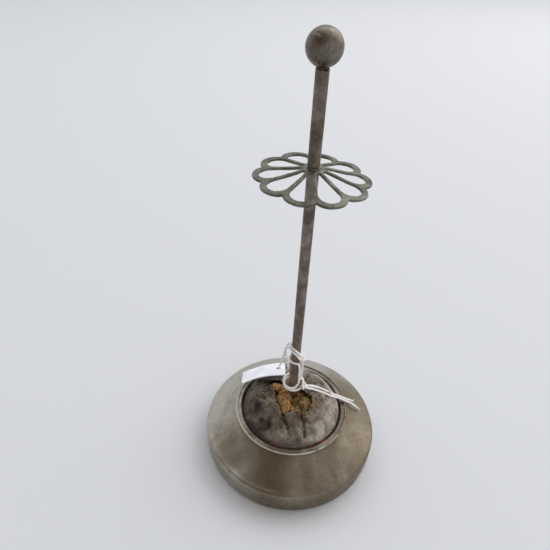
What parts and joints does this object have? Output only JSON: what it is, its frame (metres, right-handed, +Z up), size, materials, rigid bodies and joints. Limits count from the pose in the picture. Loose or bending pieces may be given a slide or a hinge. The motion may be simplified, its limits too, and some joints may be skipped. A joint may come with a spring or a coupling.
{
  "type": "hatpin stand",
  "caption": "Round weighted base with a domed pincushion, a slim upright stem, a pierced petal disc that hatpins drop through, and an unscrewing ball finial.",
  "frame": {"origin": "centre of the baize underside, on the table", "axes": "+Z up along the stem; -Y is the front, where one spoke of the disc and the torn side of the cushion face"},
  "size_m": [0.076, 0.076, 0.1745],
  "materials": {
    "base_metal": "tarnished silver plate over spun brass, worn pale at the edges",
    "collar_metal": "tarnished silver plate with a bright worn lip",
    "tinplate": "dull tinplate",
    "cushion_card": "brown pasteboard",
    "sawdust": "packed ochre sawdust and straw",
    "velvet": "faded, dirty cotton velvet",
    "crimson_velvet": "unfaded crimson velvet",
    "pin_steel": "bright drawn steel wire",
    "lead": "dull cast lead",
    "baize": "dark green baize",
    "brass": "dull turned brass",
    "rod_steel": "oiled steel",
    "rusted_stem": "plated steel tube, rusting through the plate",
    "stem_metal": "dull plated steel tube",
    "dark_washer": "blackened steel",
    "bright_washer": "bare nickel",
    "disc_metal": "olive-grey tarnished pierced sheet",
    "ball_metal": "tarnished turned ball, lightly pitted",
    "cotton_thread": "white twisted cotton",
    "tag_card": "smooth white card"
  },
  "bodies": {
    "base": {"base_shell": "base_metal", "collar_ring": "collar_metal", "cushion_cup": "tinplate", "cushion_board": "cushion_card", "cushion_stuffing": "sawdust", "cushion_cover": "velvet", "velvet_piping": "crimson_velvet", "stuffing_tuft": "sawdust", "broken_pins": "pin_steel", "base_weight": "lead", "base_plate": "tinplate", "baize_pad": "baize", "stem_socket": "brass", "tie_rod": "rod_steel", "rod_nut": "rod_steel", "rod_washer": "rod_steel", "lower_stem": "rusted_stem", "upper_stem": "stem_metal", "disc_seat_washer": "dark_washer", "disc_top_washer": "bright_washer", "tag_thread": "cotton_thread", "thread_knot": "cotton_thread", "price_tag": "tag_card"},
    "disc": {"pin_disc": "disc_metal"},
    "finial_ring": {"finial_washer": "bright_washer"},
    "finial": {"ball_finial": "ball_metal"}
  },
  "joints": [
    {"name": "disc_turn", "type": "hinge", "parent": "base", "child": "disc", "pos_m": [0, 0, 0.1355], "axis": [0, 0, 1], "continuous": true},
    {"name": "finial_lift", "type": "slide", "parent": "base", "child": "finial_ring", "axis": [0, 0, 1], "range_m": [0, 0.0042]},
    {"name": "finial_turn", "type": "hinge", "parent": "finial_ring", "child": "finial", "pos_m": [0, 0, 0.169], "axis": [0, 0, 1], "range_deg": [0, 2521]}
  ],
  "couplings": [
    {"joint": "finial_turn", "follows": "finial_lift", "rad_per_m": 10472}
  ]
}
